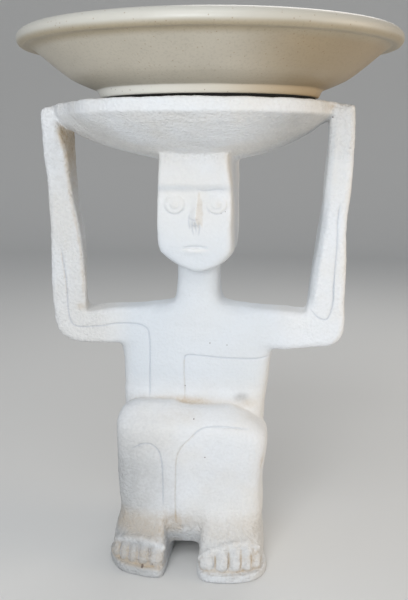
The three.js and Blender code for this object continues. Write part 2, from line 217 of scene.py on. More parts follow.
# %% [markdown]
# ## Blocks through level sections
# Torso, lap, head and neck are blocks whose plan changes with height. Each is given by level
# sections: how far it reaches left, right, forward and back, and how square it is. Between sections
# the numbers are interpolated and then smoothed over a reach, as a thumb would smooth the clay.

# %% Distance to a block through level sections
CAP = 3.0        # how softly a block ends at its top and its bottom


def smoothed(heights, table, column, reach):
    values = np.interp(heights, table[:, 0], table[:, column])
    half = max(1, round(reach / VOXEL))
    weights = np.hanning(2 * half + 3)
    padded = np.pad(values, half + 1, mode="edge")
    return np.convolve(padded, weights / weights.sum(), "valid").astype(np.float32)


def block(sections, reach):
    table = np.array(sections, float)
    least = 0.4 / (table[0, 2] - table[0, 1] + 50)      # keeps the middle from a division by zero

    def distance(x, y, z):
        levels = z.ravel()
        left, right, front, back, square = (smoothed(levels, table, i, reach) for i in range(1, 6))
        v = (y - (front + back) / 2) / ((back - front) / 2)
        if table.shape[1] > 6:
            right = right - smoothed(levels, table, 6, reach) * np.clip((1 - v) / 2, 0, 1)
        u = (x - (left + right) / 2) / ((right - left) / 2)
        size = (np.abs(u) ** square + np.abs(v) ** square) ** (1 / square)
        steepness = np.sqrt(sum(g * g for g in np.gradient(size, VOXEL)))
        body = (size - 1) / np.maximum(steepness, least)
        return soft_more(soft_more(body, z - table[-1, 0], CAP), table[0, 0] - z, CAP)

    return distance


def around(sections):
    table = np.array(sections, float)
    return reach_of(np.vstack([table[:, [1, 3, 0]], table[:, [2, 4, 0]]]), FAR)


# %% [markdown]
# ## Body and head
# Sections read: height, left, right, front, back, squareness (2 is an ellipse, 5 nearly a box).
# The drawn-up legs are one block in front of the hips, with the left knee on top. The torso rises
# behind the knees with a sharp crease, so the legs get a narrow fillet and the neck a wide one.

# %% Torso, hips, legs, head and neck
TORSO = [
    (150, -83, 72.5, -31, 46, 5), (172, -84, 73.5, -31, 45, 5), (196, -84.5, 79, -31.5, 43, 5),
    (216, -85.5, 80.5, -32, 41, 4.5), (230, -88, 84, -31.5, 38, 4), (246, -91, 88, -30.5, 34, 4),
    (260, -90, 86, -29, 31, 3.6), (272, -77, 76, -27, 27, 3.4), (281, -44, 44, -21, 18, 2.6)]
HIPS = [
    (-6, -74, 69, -50, 50, 5), (27, -76, 70.5, -55, 57, 5), (84, -79, 71.5, -55, 58, 4.6),
    (130, -82, 71.5, -50, 56, 4.5), (160, -83, 72, -40, 50, 4.4), (182, -83, 73.5, -31, 45, 4.6)]
LEGS = [
    (-6, -73, 70, -58, 5, 5), (16, -75, 71, -60, 5, 5), (24, -76, 72, -65, 5, 5),
    (34, -77, 73.5, -72, 5, 5), (56, -81.5, 75, -75, 5, 5), (72, -83.8, 74.5, -76.5, 5, 4.8),
    (84, -85, 74, -76.5, 5, 4.6), (98, -86, 75, -77, 5, 4.6), (115, -86, 77.5, -79, 5, 4.6),
    (132, -86, 80, -80, 4, 4.6), (142, -86, 80, -80.5, 3, 4.6), (150, -86, 77, -80, 2, 4.5),
    (157, -86, 69, -78, 0, 4.6), (164, -84.5, 61, -72.5, -2, 4.4), (169.5, -78, 50, -64, -5, 4),
    (173, -66, 36, -52, -10, 3.4)]
KNEE_LEFT = [
    (148, -83, -6, -70, -20, 3.2), (166, -81.5, -10, -66, -24, 3.4), (173, -76, -16, -60, -28, 3.4),
    (177, -64, -25, -52, -34, 3)]
# the last number is how far the head's right side is cut in at the front
HEAD = [
    (321.5, -1, 8, -44, -36, 2.4, 0), (323.5, -7, 13, -46, -28, 3, 0),
    (326, -14.5, 20, -47, -18, 3.6, 0), (329, -21, 27.5, -47.5, -6, 4.2, 0.5),
    (333, -27.5, 33.5, -47.8, 8, 5, 1), (337.5, -33.6, 38, -48, 20, 6, 1),
    (343, -39, 41, -48, 29, 8, 1), (351, -41.2, 41.6, -48, 35, 10, 1.2),
    (368, -41.8, 42, -46.5, 39, 14, 3), (386, -41.5, 42.2, -44, 41, 20, 2.8),
    (406.8, -40.7, 42, -42.5, 42, 20, 3.8), (415.4, -39.9, 42.2, -47.5, 42, 20, 4.6),
    (436, -38.5, 42, -47, 42, 20, 7.5), (466, -38.3, 41.8, -46, 42, 20, 8)]
NECK = [
    (264, -60, 58, -27, 28, 2.4), (276, -40, 38, -28, 27, 2.6), (283, -29.5, 28.5, -27.5, 26, 2.8),
    (291, -25.4, 24.6, -26.5, 25, 3), (312, -24, 23.7, -25, 24, 3), (345, -24.2, 24.2, -24, 24, 3)]

# sections, width of the fillet, and how far the thumb reaches
BLOCKS = [(TORSO, 2, 8), (HIPS, 8, 8), (NECK, 7, 5), (LEGS, 2.5, 8), (KNEE_LEFT, 5, 5), (HEAD, 3, 1.5)]
for sections, blend, reach in BLOCKS:
    add(*around(sections), block(sections, reach), blend)
print("body and head joined")


# %% [markdown]
# ## Arms
# Each arm is cut like a flat board that bends at the elbow, then has its edges rounded. The distance
# to its outline is found in two dimensions, and a board of known thickness follows from it. The
# inner side isn't square to the front, so the front and the back have outlines of their own.

# %% Distance to an outline
def curve_through(points, step=2.0):
    """A smooth open path through points: each stretch blends the lines through its neighbours."""
    points = np.array(points, float)
    spans = np.r_[0, np.cumsum(np.linalg.norm(np.diff(points, axis=0), axis=1) ** 0.5)]
    ends = np.vstack([2 * points[0] - points[1], points, 2 * points[-1] - points[-2]])
    spans = np.r_[-spans[1], spans, 2 * spans[-1] - spans[-2]]
    path = []
    for i in range(1, len(points)):
        near, at = ends[i - 1:i + 3], spans[i - 1:i + 3]
        count = max(2, round(np.linalg.norm(near[2] - near[1]) / step))
        t = np.linspace(at[1], at[2], count, endpoint=False)[:, None]
        for level in ((0, 1), (1, 2), (2, 3)), ((0, 2), (1, 3)), ((1, 2),):
            near = [(at[b] - t) / (at[b] - at[a]) * p + (t - at[a]) / (at[b] - at[a]) * q
                    for (a, b), p, q in zip(level, near[:-1], near[1:])]
        path.extend(near[0])
    path.append(points[-1])
    return np.array(path)


def to_path(p, q, path):
    """Distance from points (p, q) to a path, and how far along the nearest point is."""
    best = np.full(np.broadcast(p, q).shape, 1e6)
    along = np.zeros_like(best)
    walked = 0.0
    for (p0, q0), (p1, q1) in zip(path[:-1], path[1:]):
        dp, dq = p1 - p0, q1 - q0
        length = math.hypot(dp, dq)
        t = np.clip(((p - p0) * dp + (q - q0) * dq) / length ** 2, 0, 1)
        distance = np.hypot(p - p0 - t * dp, q - q0 - t * dq)
        nearer = distance < best
        best = np.where(nearer, distance, best)
        along = np.where(nearer, walked + t * length, along)
        walked += length
    return best, along


def inside(p, q, path):
    crossings = np.zeros(np.broadcast(p, q).shape, bool)
    for (p0, q0), (p1, q1) in zip(path, np.roll(path, -1, axis=0)):
        if q0 != q1:
            crossings ^= ((q0 > q) != (q1 > q)) & (p < (p1 - p0) * (q - q0) / (q1 - q0) + p0)
    return crossings


def to_outline(p, q, path):
    distance, _ = to_path(p, q, np.vstack([path, path[:1]]))
    return np.where(inside(p, q, path), -distance, distance)


# %% Arms
# inner edge at the back (x, z), outer edge (x, z), half the thickness, and how far to the right
# of the inner edge at the back the one at the front is
LEFT_ARM = [
    (-52, 277, -52, 240, 16, 0), (-98, 276, -98, 236.5, 23, 0),
    (-114, 274.5, -118, 236.3, 23.5, 0), (-127, 272.5, -138, 237.5, 23.5, 4),
    (-131, 274, -152.8, 244.3, 23.5, 7), (-133, 278, -160.3, 256.5, 23.5, 9),
    (-134, 287, -162.8, 273, 23.5, 10), (-134.3, 304, -164.2, 296, 23.5, 9.9),
    (-134, 336, -164.4, 336, 23, 7.7), (-134.8, 357, -164, 357, 22.8, 6),
    (-137, 371, -164, 371, 22.5, 5.8), (-139.5, 388, -165, 388, 22.2, 4.8),
    (-141.6, 412, -166, 412, 22, 2.9), (-143, 450, -169.8, 450, 22, -0.8),
    (-142.5, 469, -171, 469, 21.8, -8), (-142.3, 480, -171.8, 480, 21.5, -12),
    (-144.5, 492, -171.6, 492, 20.5, -13), (-149, 500, -167, 499.5, 18, -9)]
RIGHT_ARM = [
    (52, 278, 52, 240, 16, 0), (96, 276.5, 95, 233, 23, 0), (109, 275.3, 111, 234.5, 23.5, 0),
    (117, 275, 131.5, 236.5, 23.5, 0), (119.5, 276.5, 148, 239.3, 23.5, 0),
    (120.5, 281, 158, 248.3, 23.5, 0.4), (121.5, 290, 161.6, 262, 23.5, 0.8),
    (123.5, 308, 161.6, 292, 23.5, 1.1), (128, 342, 161.5, 332, 23, 1.3),
    (132.5, 375, 161.3, 372, 22.5, 1.4), (135.7, 402, 164.3, 402, 22, 1.4),
    (137.2, 430, 165.8, 430, 22, 1.4), (139.5, 465, 167, 466, 21.5, 1.4),
    (140.5, 488, 167, 489, 20.5, 1.4), (144, 500, 166, 499, 18, 0.9)]
LEFT_EDGE, RIGHT_EDGE = 5.5, 7.5       # how round the edges are
ARM_Y, ARM_HALF = -4.0, 24


def arm(stations, edge):
    table = np.array(stations, float)
    inner, outer = table[:, 0:2], table[:, 2:4]
    middle = (inner + outer) / 2
    front_inner = inner + np.c_[table[:, 5], np.zeros(len(table))]
    reach = np.r_[0, np.cumsum(np.linalg.norm(np.diff(middle, axis=0), axis=1))]

    def distance(x, y, z):
        p, q = x[:, :, 0], z[:, 0, :]
        flat = [to_outline(p, q, np.vstack([curve_through(side, 4), curve_through(outer, 4)[::-1]]))
                for side in (front_inner, inner)]
        _, along = to_path(p, q, middle)
        thick = np.interp(along, reach, table[:, 4]).astype(np.float32)[:, None, :]
        front, back = (side.astype(np.float32)[:, None, :] for side in flat)
        t = np.clip((y - ARM_Y + thick) / (2 * thick), 0, 1)
        return rounded(front + (back - front) * t, np.abs(y - ARM_Y) - thick, edge)

    corners = [(x, ARM_Y + side, z) for x, z in (*inner, *outer) for side in (-ARM_HALF, ARM_HALF)]
    return *reach_of(corners, FAR), distance


for stations, edge in ((LEFT_ARM, LEFT_EDGE), (RIGHT_ARM, RIGHT_EDGE)):
    add(*arm(stations, edge), FILLET["arm"])
print("arms joined")


# %% [markdown]
# ## Dish
# The dish is an outline spun about the upright axis. Its underside swells down to the head and its
# rim is an upright band. Toward each hand the radius is stretched until the rim meets the hand. The
# underside isn't quite centred: its lowest part lies further back than the rim.

# %% Dish
DISH_TOP = 501.0
DISH_RADIUS = 142.0
DISH_PROFILE = [
    (0, 433.5), (40, 439.3), (71, 447.8), (94, 455.6), (106, 461.2), (121, 469.3), (133, 478.5),
    (DISH_RADIUS, 488), (DISH_RADIUS, 499.5), (DISH_RADIUS - 1.5, DISH_TOP), (0, DISH_TOP)]
# direction, half angle, stretch, and the height above which the dish is drawn out
HAND_PULLS = [(180.0, 25.0, 0.15, 430), (0.0, 14.0, 0.1, 478)]
PULL_FADE = 10.0
# below the rim every mm down lies this much further back
DISH_RIM_LOW, DISH_SET_BACK = 488.0, 0.54


def dish(x, y, z):
    angle = np.degrees(np.arctan2(y, x))[:, :, 0]
    pulls = []
    for way, half, amount, start in HAND_PULLS:
        off = np.minimum(np.abs((angle - way + 180) % 360 - 180) / half, 1)
        pulls.append((amount * (0.5 + 0.5 * np.cos(np.pi * off)), start))
    ruler, heights = np.arange(0, 190, 1.0), z.ravel()
    table = to_outline(ruler[:, None], heights[None, :], np.array(DISH_PROFILE, float))
    layers = []
    for height, distances in zip(heights, table.T):
        stretch = 1 + sum(pull * np.clip((height - start) / PULL_FADE, 0, 1) for pull, start in pulls)
        radius = np.hypot(x, y - DISH_SET_BACK * max(DISH_RIM_LOW - height, 0))[:, :, 0]
        layers.append(np.interp(radius / stretch, ruler, distances).astype(np.float32))
    return np.stack(layers, axis=2)


add((*GRID_LOW[:2], 425), GRID_HIGH, dish, FILLET["dish"])
print("dish joined")

# %% [markdown]
# The tops of both hands slope down a little beyond the rim, so all that stands higher is cut off.

# %% Hand tops
HAND_SLOPE = 0.18


def above_hands(x, y, z):
    return DISH_TOP - HAND_SLOPE * np.maximum(np.hypot(x, y) - DISH_RADIUS, 0) - z


carve((*GRID_LOW[:2], 480), GRID_HIGH, above_hands, FILLET["hand top"])


# %% [markdown]
# ## Feet
# The feet push forward from under the lap. Each has a thin sole slab, five toes on a slope and a
# raised lip above them. Toes are short rounded rods, joined with a narrow fillet, so the grooves
# between them come almost by themselves. The gap between the feet is carved away first.

# %% Feet and toes
LEFT_PLAN = [
    (-28, -20), (-28, -70), (-28.5, -104), (-31, -109.5), (-39, -109), (-53, -105.5), (-69, -99),
    (-80, -89), (-87.5, -76), (-91.5, -60), (-92, -20)]
RIGHT_PLAN = [
    (8, -20), (8, -70), (11.5, -102), (17.5, -109.5), (30, -111.5), (43, -110.5), (56, -106.5),
    (67, -100.5), (74.5, -89), (76.5, -72), (76.5, -20)]
LEFT_SOLE = [
    (-27, -8), (-27, -70), (-28, -106), (-31.5, -111.5), (-40, -111.8), (-57, -107.5), (-73, -101),
    (-85, -86), (-92, -70), (-95, -58), (-90, -36), (-72, -8)]
RIGHT_SOLE = [
    (6, 5), (6, -68), (10.5, -106), (18.5, -114), (38, -116.5), (57, -113), (70, -106),
    (79.5, -90), (81, -72), (77, -52), (66, -20), (50, 0)]
# height, then how wide and how long the foot still is, measured from a fixed x and from its heel
FOOT_LEVELS = np.array([
    (4, 1.0, 1.0), (9, 1.0, 0.985), (20, 0.985, 0.93), (30, 0.96, 0.855), (36, 0.93, 0.82),
    (42, 0.9, 0.75), (52, 0.83, 0.68), (66, 0.77, 0.61)])
HEEL, BETWEEN_FEET = -20, -12       # a y and an x
SLAB_EDGE = 1.5
GAP_LOW, GAP_HIGH, GAP_ROUND = (-28.5, -140, -30), (7.5, -8, 17.5), 5.0
# middle of each toe, and its radius
LEFT_TOES = [(-80.8, 6.0), (-71.0, 7.2), (-60.6, 7.4), (-49.2, 8.0), (-36.6, 8.6)]
RIGHT_TOES = [(20.4, 9.2), (35.6, 8.6), (49.3, 8.4), (61.2, 7.6), (70.8, 5.8)]
# the lip above the toes: how high it lies, from the left to the right
LEFT_LIP = [(-84, 24), (-80, 27.5), (-71.7, 31.2), (-54, 33.9), (-41, 32.7), (-30.5, 27.5)]
RIGHT_LIP = [(12.5, 19), (18, 24.1), (23, 27.1), (36, 31.1), (46.5, 33.8), (61.9, 33.9), (71.5, 26)]
LIP_RADIUS, LIP_PROUD = 4.0, 3.0
# a toe starts this far under the lip; how proud it stands there, and at its tip
TOE_DROP, TOE_PROUD, TIP_PROUD = 6, 2.6, 4.4
# plan, sole, thickness of its slab, toes, lip, and the x toward which the foot gets narrow
FEET = [(LEFT_PLAN, LEFT_SOLE, 10.0, LEFT_TOES, LEFT_LIP, -42),
        (RIGHT_PLAN, RIGHT_SOLE, 8.0, RIGHT_TOES, RIGHT_LIP, 14)]


def rod(start, end, radius):
    start, end = np.array(start, float), np.array(end, float)
    run = end - start

    def distance(x, y, z):
        away = (x - start[0], y - start[1], z - start[2])
        t = np.clip(sum(a * r for a, r in zip(away, run)) / (run @ run), 0, 1)
        return np.sqrt(sum((a - t * r) ** 2 for a, r in zip(away, run))) - radius

    return *reach_of((start, end), radius + FAR), distance


def slab(plan, low, high, edge):
    """A flat slab with this plan, its edges rounded."""
    path = curve_through(plan, 4)

    def distance(x, y, z):
        flat = to_outline(x[:, :, 0], y[:, :, 0], path).astype(np.float32)
        return rounded(flat[:, :, None], np.abs(z - (low + high) / 2) - (high - low) / 2, edge)

    return distance


def foot(plan, fixed):
    """A foot: its plan gets narrower and shorter as it goes up."""
    path = curve_through(plan, 4)

    def distance(x, y, z):
        wide, long = (smoothed(z.ravel(), FOOT_LEVELS, i, 4) for i in (1, 2))
        flat = to_outline(fixed + (x - fixed) / wide, HEEL + (y - HEEL) / long, path)
        return soft_more(flat.astype(np.float32), z - FOOT_LEVELS[-1, 0], 3)

    return distance


def front_of(plan, fixed, x, z):
    """How far forward a foot reaches, at a given x and height."""
    wide, long = (np.interp(z, FOOT_LEVELS[:, 0], FOOT_LEVELS[:, i]) for i in (1, 2))
    ahead = sorted(point for point in curve_through(plan, 1).tolist() if point[1] < -60)
    return HEEL + long * (np.interp(fixed + (x - fixed) / wide, *zip(*ahead)) - HEEL)


def gap(x, y, z):
    """The space between the feet, as a block with round edges."""
    middle = (np.array(GAP_LOW) + np.array(GAP_HIGH)) / 2
    half = (np.array(GAP_HIGH) - np.array(GAP_LOW)) / 2 - GAP_ROUND
    q = [np.abs(c - m) - h for c, m, h in zip((x, y, z), middle, half)]
    outside = np.sqrt(sum(np.maximum(c, 0) ** 2 for c in q))
    return outside + np.minimum(np.maximum(np.maximum(q[0], q[1]), q[2]), 0) - GAP_ROUND


carve((-50, -140, -7), (30, 10, 50), gap, FILLET["gap"])
for plan, sole, thick, toes, ridge, fixed in FEET:
    left, right = min(sole)[0] - 8, max(sole)[0] + 8
    add((left, -128, -7), (right, 20, 80), foot(plan, fixed), FILLET["foot"])
    add((left, -128, -7), (right, 20, 24), slab(sole, -20, thick, SLAB_EDGE), FILLET["slab"])
    path = [(x, front_of(plan, fixed, x, z) + LIP_RADIUS - LIP_PROUD, z) for x, z in ridge]
    for start, end in zip(path[:-1], path[1:]):
        add(*rod(start, end, LIP_RADIUS), FILLET["toe lip"])
    for x, radius in toes:
        high, low = np.interp(x, *zip(*ridge)) - TOE_DROP - radius / 2, thick + radius * 0.8
        top = (x, front_of(plan, fixed, x, high) + radius - TOE_PROUD, high)
        tip = (x, front_of(plan, fixed, x, low) + radius - TIP_PROUD, low)
        add(*rod(top, tip, radius), FILLET["toe"])
print("feet and", len(LEFT_TOES) + len(RIGHT_TOES), "toes joined")


# %% [markdown]
# ## Face
# The face is a flat mask: a brow that steps back, a wedge for the nose and a small ledge for the
# lower lip. An eye is a coin with a soft edge and a little dome, proudest at its bottom. The mouth
# is a shallow notch that gets deeper downward and ends on the ledge.

# %% Face
# middle and radii of each eye, then how proud, round, domed and tilted it is, and its pupil
EYES = [((-21.9, -42.6, 393.4), (10.6, 9.6)), ((23.2, -42.4, 393.7), (10.8, 9.8))]
EYE_PROUD, EYE_EDGE, EYE_DOME, EYE_TILT, PUPIL, PUPIL_PROUD = 2.5, 1.0, 0.9, 0.4, 0.47, 0.9
LIP = ((0.7, -46.9, 345.4), (13.2, 3.3, 4.2))
MOUTH_MIDDLE, MOUTH_HALF, MOUTH_LOW, MOUTH_HIGH, MOUTH_DEPTH = 0.7, 13.4, 347.7, 350.9, 2.2
MOUTH_PLANE, NOSE_PLANE, NOSE_BACK = -48, -42, -34      # y of the face there, and of the nose's back
FACE_MARGIN = 6
NOSE_TOP, NOSE_TIP, NOSE_HALF = (3.0, -43.2, 409.0), (0.8, -53.0, 376.5), (5.0, 11.0)


def flat_ball(middle, radii):
    def distance(x, y, z):
        away = sum(((place - m) / r) ** 2 for place, m, r in zip((x, y, z), middle, radii))
        return (np.sqrt(away) - 1) * min(radii)

    return *reach_of([middle], np.array(radii) + FACE_MARGIN), distance


def coin(middle, radii, proud):
    def distance(x, y, z):
        out = np.sqrt(((x - middle[0]) / radii[0]) ** 2 + ((z - middle[2]) / radii[1]) ** 2)
        dome = EYE_DOME * np.clip(1 - out * out, 0, 1) - EYE_TILT * (z - middle[2]) / 10 * (proud / 2)
        return rounded((out - 1) * min(radii), np.abs(y - middle[1]) - proud - dome, EYE_EDGE)

    return *reach_of([middle], np.array((radii[0], 2, radii[1])) + FACE_MARGIN), distance


def nose(x, y, z):
    t = (NOSE_TOP[2] - z) / (NOSE_TOP[2] - NOSE_TIP[2])
    ridge_x, ridge_y = (top + (tip - top) * t for top, tip in zip(NOSE_TOP[:2], NOSE_TIP[:2]))
    half = NOSE_HALF[0] + (NOSE_HALF[1] - NOSE_HALF[0]) * np.clip(t, 0, 1)
    slope = (NOSE_PLANE - ridge_y) / half
    sides = (np.abs(x - ridge_x) * slope + ridge_y - y) / np.sqrt(1 + slope * slope)
    under = (NOSE_TIP[2] - z - 1.1 * (y - NOSE_TIP[1])) / 1.5
    return soft_more(np.maximum(sides, y - NOSE_BACK), under, 2.5)


def mouth(x, y, z):
    """The notch between an arched top and a level bottom, deepest at its bottom."""
    u = (x - MOUTH_MIDDLE) / MOUTH_HALF
    arch = np.maximum((MOUTH_HIGH - MOUTH_LOW) * (1 - u * u), 0.05)
    t = (MOUTH_LOW + arch - z) / arch
    depth = MOUTH_DEPTH * np.clip(1 - u * u, 0, 1) ** 0.3 * t
    return np.where((t > 0) & (t < 1) & (np.abs(u) < 1), y - MOUTH_PLANE - depth, 5.0)


for middle, radii in EYES:
    pupil_radii = [PUPIL * radius for radius in radii]
    add(*coin(middle, radii, EYE_PROUD), FILLET["eye"])
    add(*coin(middle, pupil_radii, EYE_PROUD + PUPIL_PROUD), FILLET["pupil"])
add(*flat_ball(*LIP), FILLET["lip"])
carve((-16, -60, 340), (18, -40, 354), mouth, FILLET["mouth"])
add((-14, -66, 358), (18, -30, 416), nose, FILLET["nose"])
print("face joined")


# %% [markdown]
# ## From distances to a skin
# Everything under the floor is cut away. Then OpenVDB draws the skin where the distance is zero, as
# even four-sided faces, closed and without seams.

# %% Skin
field = soft_more(field, -grid_axes[2], FILLET["floor"])
reach = 3 * VOXEL       # what lies further from the skin has no effect on it
grid = openvdb.FloatGrid(background=reach)
grid.copyFromArray(np.clip(field, -reach, reach))
grid.transform = openvdb.createLinearTransform(voxelSize=VOXEL)
points, quads = grid.convertToQuads(0.0)
points += np.array([axis[0] for axis in grid_axes])
figure_mesh = bpy.data.meshes.new("figure skin")
figure_mesh.from_pydata(points * MM, [], quads)
figure_mesh.validate()
print("skin:", len(points), "points", len(quads), "faces")


# %% [markdown]
# ## Incised lines
# Thin lines are scratched along the arms, across the chest and down the legs. The skin's faces are
# too large for such a line, so those along it are divided first. Then the points near the line are
# pushed in, deepest in its middle.

# %% Incised lines
FRONT_LINES = [
    [(-151, 341), (-146.5, 305), (-145, 270), (-141, 258), (-134, 255), (-107, 256.5), (-93, 259),
     (-64, 258.7), (-55.5, 254.5), (-53, 244), (-53, 178)],
    [(-13, 178), (-13, 224), (-11, 226), (34, 224), (70, 223.5), (80, 225.5)],
    [(153.5, 394), (151.5, 380), (151, 346), (148.7, 310), (147, 279), (141.5, 269), (133, 271),
     (125, 279.5)],
    [(-65, 132), (-59.3, 135.5), (-53.8, 138), (-48.3, 138.9), (-44, 138.4), (-39.1, 135.2),
     (-35.3, 129.7), (-33.2, 122.9), (-32.2, 116.2), (-31.8, 102.4), (-31.9, 87.5), (-32, 67.8)],
    [(59.6, 156.2), (46.8, 158.1), (33, 159.1), (20.1, 158.9), (12.6, 157.9), (6.2, 154.2),
     (0.8, 148.4), (-5.2, 142.5), (-10.1, 136.7), (-13.4, 130.9), (-15.9, 124), (-17.2, 114.9),
     (-17.6, 103.5), (-18.2, 87.4), (-18.5, 73.5), (-18.2, 58.5), (-17.9, 46.8)]]
BACK_LINES = [
    [(0, 252), (0, 120)], [(-66, 96), (-36, 104), (0, 108), (36, 104), (66, 96)]]
LINE_DEPTH, LINE_HALF, LINE_FADE, BESIDE = 1.0, 0.8, 12.0, 2.4
MOUTH = [(-12.2, 347.9), (-7.5, 348.7), (-2, 349.3), (3, 349.4), (8.5, 348.9), (13.6, 347.9)]
BROW_SCAR = [(3, 410), (9, 408.4), (16, 409), (24, 409.8), (31, 409.3)]
# share of the eye's radius, from and to in degrees, and how dark: the lower arcs are painted shadow
# under each eye and its pupil
EYE_ARCS = [(1.02, 190, 350, 0.24), (PUPIL, 170, 380, 0.1)]
NOSE_SCARS = [[(-5.5, 384), (-6.6, 376), (-5.2, 368)], [(-2.2, 378), (-2.8, 370), (-1.4, 362)],
              [(1.2, 380), (0.6, 373), (1.6, 364)], [(4.4, 376), (5.2, 370), (4.2, 361)],
              [(-7, 380), (-1, 377.5), (5, 379)], [(-4.5, 373.5), (0.5, 371), (3.5, 372.5)]]


def between_toes(toes, ridge):
    """The short grooves between the toes, from just under the lip down to the slab."""
    for (x0, r0), (x1, r1) in zip(toes[:-1], toes[1:]):
        x = x0 + (x1 - x0) * r0 / (r0 + r1)
        yield [(x - 0.4, np.interp(x, *zip(*ridge)) - 5), (x + 0.3, 19), (x, 13)]


# path, side (-1 front, 1 back), depth, length of the shallow ends, and how dark it is painted: shade in
# the blue grooves, dirt in the tan ones, and the scars
lines = [(curve_through(line, 3), -1, LINE_DEPTH, LINE_FADE, 0.4) for line in FRONT_LINES]
lines += [(curve_through(line, 3), 1, LINE_DEPTH, LINE_FADE, 0.3) for line in BACK_LINES]
# the mouth line is painted shade in the notch; the brow scar is a real mark
lines += [(curve_through(MOUTH, 2), -1, 0.3, 5, 0.16), (curve_through(BROW_SCAR, 2), -1, 0.4, 5, 0.3)]
lines += [(curve_through(scar, 2), -1, 0.7, 4, 0.32) for scar in NOSE_SCARS]
# toe grooves: painted blue shade on the left foot, tan dirt on the right
for toes, ridge, dark in ((LEFT_TOES, LEFT_LIP, 0.5), (RIGHT_TOES, RIGHT_LIP, 0.8)):
    lines += [(curve_through(groove, 2), -1, 1.3, 3, dark) for groove in between_toes(toes, ridge)]
for middle, radii in EYES:
    for share, start, end, dark in EYE_ARCS:
        turns = np.radians(np.arange(start, end + 1, 20))
        arc = np.c_[middle[0] + share * radii[0] * np.cos(turns),
                    middle[2] + share * radii[1] * np.sin(turns)]
        lines.append((curve_through(arc, 2), -1, 0.4, 8, dark))


def line_depth(x, z, facing, half=LINE_HALF, darkness=False):
    """How deep, or how dark, the incised lines are at each point. facing is the normal's Y."""
    deep = np.zeros(len(x))
    for path, side, depth, fade, dark in lines:
        low, high = path.min(axis=0) - 5, path.max(axis=0) + 5
        near = np.flatnonzero((x > low[0]) & (x < high[0]) & (z > low[1]) & (z < high[1])
                              & (facing * side > 0.15))
        distance, along = to_path(x[near], z[near], path)
        depth = np.full(len(near), dark if darkness else depth)
        left = np.linalg.norm(np.diff(path, axis=0), axis=1).sum() - along
        depth *= np.clip(np.minimum(along, left) / fade + 0.35, 0, 1)
        deep[near] = np.maximum(deep[near], np.exp(-(distance / half) ** 2) * depth)
    return deep


def vectors(items, name):
    flat = np.empty(len(items) * 3, np.float32)
    items.foreach_get(name, flat)
    return flat.reshape(-1, 3)


def skin_points(mesh):
    """Every point of a mesh in millimetres, and the direction that the skin faces there."""
    return vectors(mesh.vertices, "co") / MM, vectors(mesh.vertex_normals, "vector")


place, facing = skin_points(figure_mesh)
beside = line_depth(place[:, 0], place[:, 2], facing[:, 1], half=BESIDE) > 0.02
work = bmesh.new()
work.from_mesh(figure_mesh)
edges = [edge for edge in work.edges if beside[edge.verts[0].index] and beside[edge.verts[1].index]]
bmesh.ops.subdivide_edges(work, edges=edges, cuts=1, use_grid_fill=True)
bmesh.ops.triangulate(work, faces=[face for face in work.faces if len(face.verts) > 4])
work.to_mesh(figure_mesh)
work.free()
print("divided", len(edges), "edges beside the lines")


# %% [markdown]
# ## Hand-worked surface
# The plaster was smoothed by hand, so no plane is quite flat: a sum of long random waves gives them
# their softness. Shorter waves are stronger on the arms and under the dish, where the plaster was
# left rough. The fine grain and the brush marks are left to the material.

# %% Waviness
# wavelengths, number of waves, height where it is smooth, and how much is added where it is rough
WAVES = [((28, 60), 40, 0.25, 0), ((9, 18), 60, 0.06, 0.07), ((4, 7), 60, 0.035, 0.08),
         ((2.6, 4), 60, 0.015, 0.07)]


def waves(points, lengths, count, seed):
    random = np.random.default_rng(seed)
    total = np.zeros(len(points), np.float32)
    for _ in range(count):
        way = random.normal(size=3)
        way *= 2 * np.pi / (np.linalg.norm(way) * random.uniform(*lengths))
        total += np.sin(points @ way.astype(np.float32) + random.uniform(0, 2 * np.pi))
    return total / math.sqrt(count / 2)


def roughness_of(points):
    """0 on the smooth front of the body, and up to 1 on the arms, the dish and the feet."""
    x, y, z = points.T
    arms = np.clip((np.abs(x) - 92) / 25, 0, 1) * np.where(x < 0, 0.65, 0.3)
    dish_band = (z > 487) * (np.abs(x) < 130)
    under_dish = 0.7 * np.clip((z - 436) / 8, 0, 1) * (1 - 0.6 * dish_band)
    outer_leg = np.clip((-48 - x) / 25, 0, 1) * np.clip((150 - z) / 50, 0, 1)
    return np.maximum.reduce([arms, under_dish, outer_leg, np.clip((70 - z) / 25, 0, 1)])


place, facing = skin_points(figure_mesh)
rough = roughness_of(place)
relief = np.zeros(len(place), np.float32)
for seed, (lengths, count, smooth, added) in enumerate(WAVES, 1):
    relief += (smooth + added * rough) * waves(place, lengths, count, seed)
relief *= np.clip(place[:, 2] / 4, 0, 1)
relief -= line_depth(place[:, 0], place[:, 2], facing[:, 1])
moved = (place + facing * relief[:, None]) * MM
figure_mesh.vertices.foreach_set("co", moved.astype(np.float32).ravel())
figure_mesh.update()
print("relief in mm:", round(float(relief.min()), 2), "to", round(float(relief.max()), 2))


# %% [markdown]
# ## Thinning the skin
# Flat planes need fewer faces than toes and lines. Decimate takes away the least needed edges first,
# so the count goes down where nobody can see it.

# %% Thinning
FIGURE_TRIANGLES = 190000


def settled(obj):
    """Makes the object's evaluated mesh its plain mesh and removes the modifiers."""
    graph = bpy.context.evaluated_depsgraph_get()
    mesh = bpy.data.meshes.new_from_object(obj.evaluated_get(graph))
    obj.modifiers.clear()
    obj.data = mesh


def triangles_of(mesh):
    return sum(len(face.vertices) - 2 for face in mesh.polygons)


figure = link(bpy.data.objects.new("figure_skin", figure_mesh))
triangles = triangles_of(figure_mesh)
thin = figure.modifiers.new("thin", "DECIMATE")
thin.ratio = min(1.0, FIGURE_TRIANGLES / triangles)
settled(figure)
figure.data.shade_smooth()
print("triangles:", triangles, "thinned to", triangles_of(figure.data))
